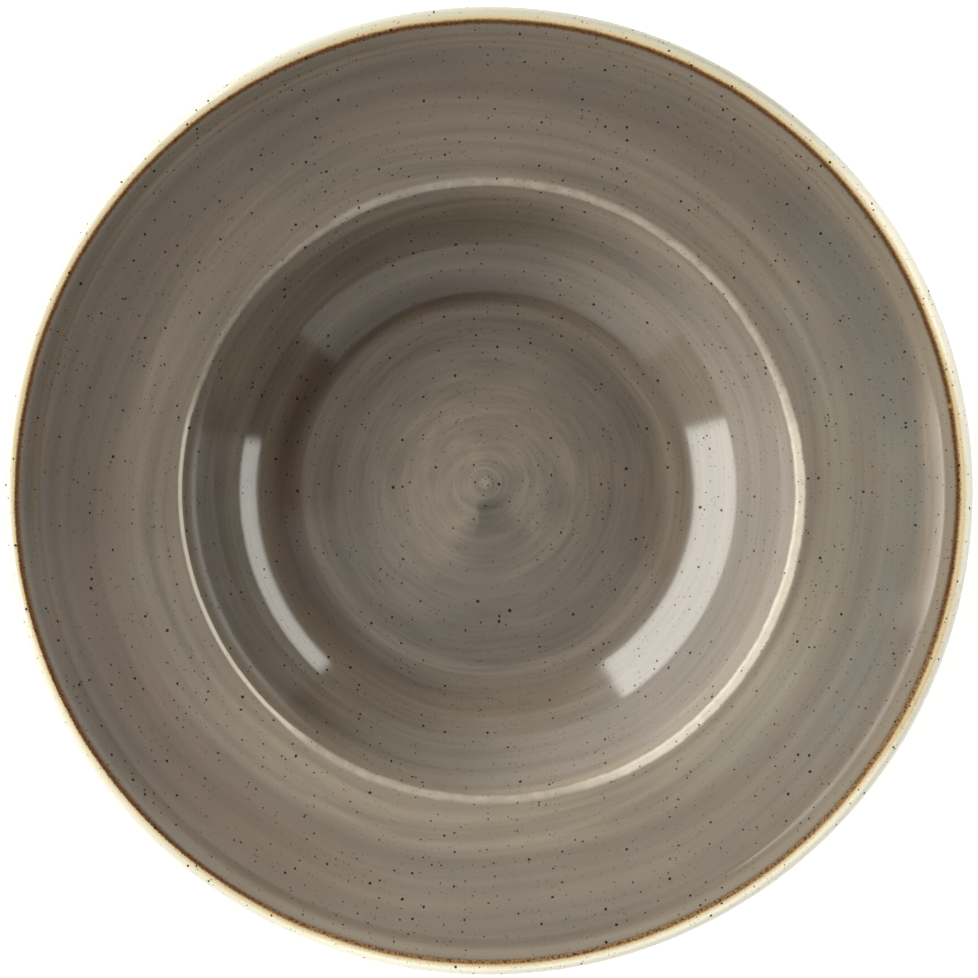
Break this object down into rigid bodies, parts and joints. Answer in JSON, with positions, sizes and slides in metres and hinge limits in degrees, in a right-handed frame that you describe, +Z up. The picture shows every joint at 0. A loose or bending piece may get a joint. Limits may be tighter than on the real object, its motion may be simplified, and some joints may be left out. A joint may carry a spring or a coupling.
{
  "type": "soup plate",
  "caption": "Round glazed stoneware soup plate with a deep well, a wide sloping rim, a raised rolled edge with a brown line, and a foot ring.",
  "frame": {"origin": "middle of the foot ring's standing face, on the table", "axes": "+Z up along the plate's own axis, out of the well; the plate is round, so X and Y are alike"},
  "size_m": [0.28, 0.28, 0.045],
  "materials": {
    "clay": "bare fired stoneware, matt",
    "cream_glaze": "gloss",
    "back_glaze": "gloss",
    "grey_glaze": "gloss, hand-banded and speckled",
    "brown_oxide": "gloss, hand-painted line"
  },
  "bodies": {
    "root": {"clay_body": "clay", "cream_glaze": "cream_glaze", "back_glaze": "back_glaze", "base_glaze": "back_glaze", "well_glaze": "grey_glaze", "rim_glaze": "grey_glaze", "brown_line": "brown_oxide"}
  },
  "joints": []
}
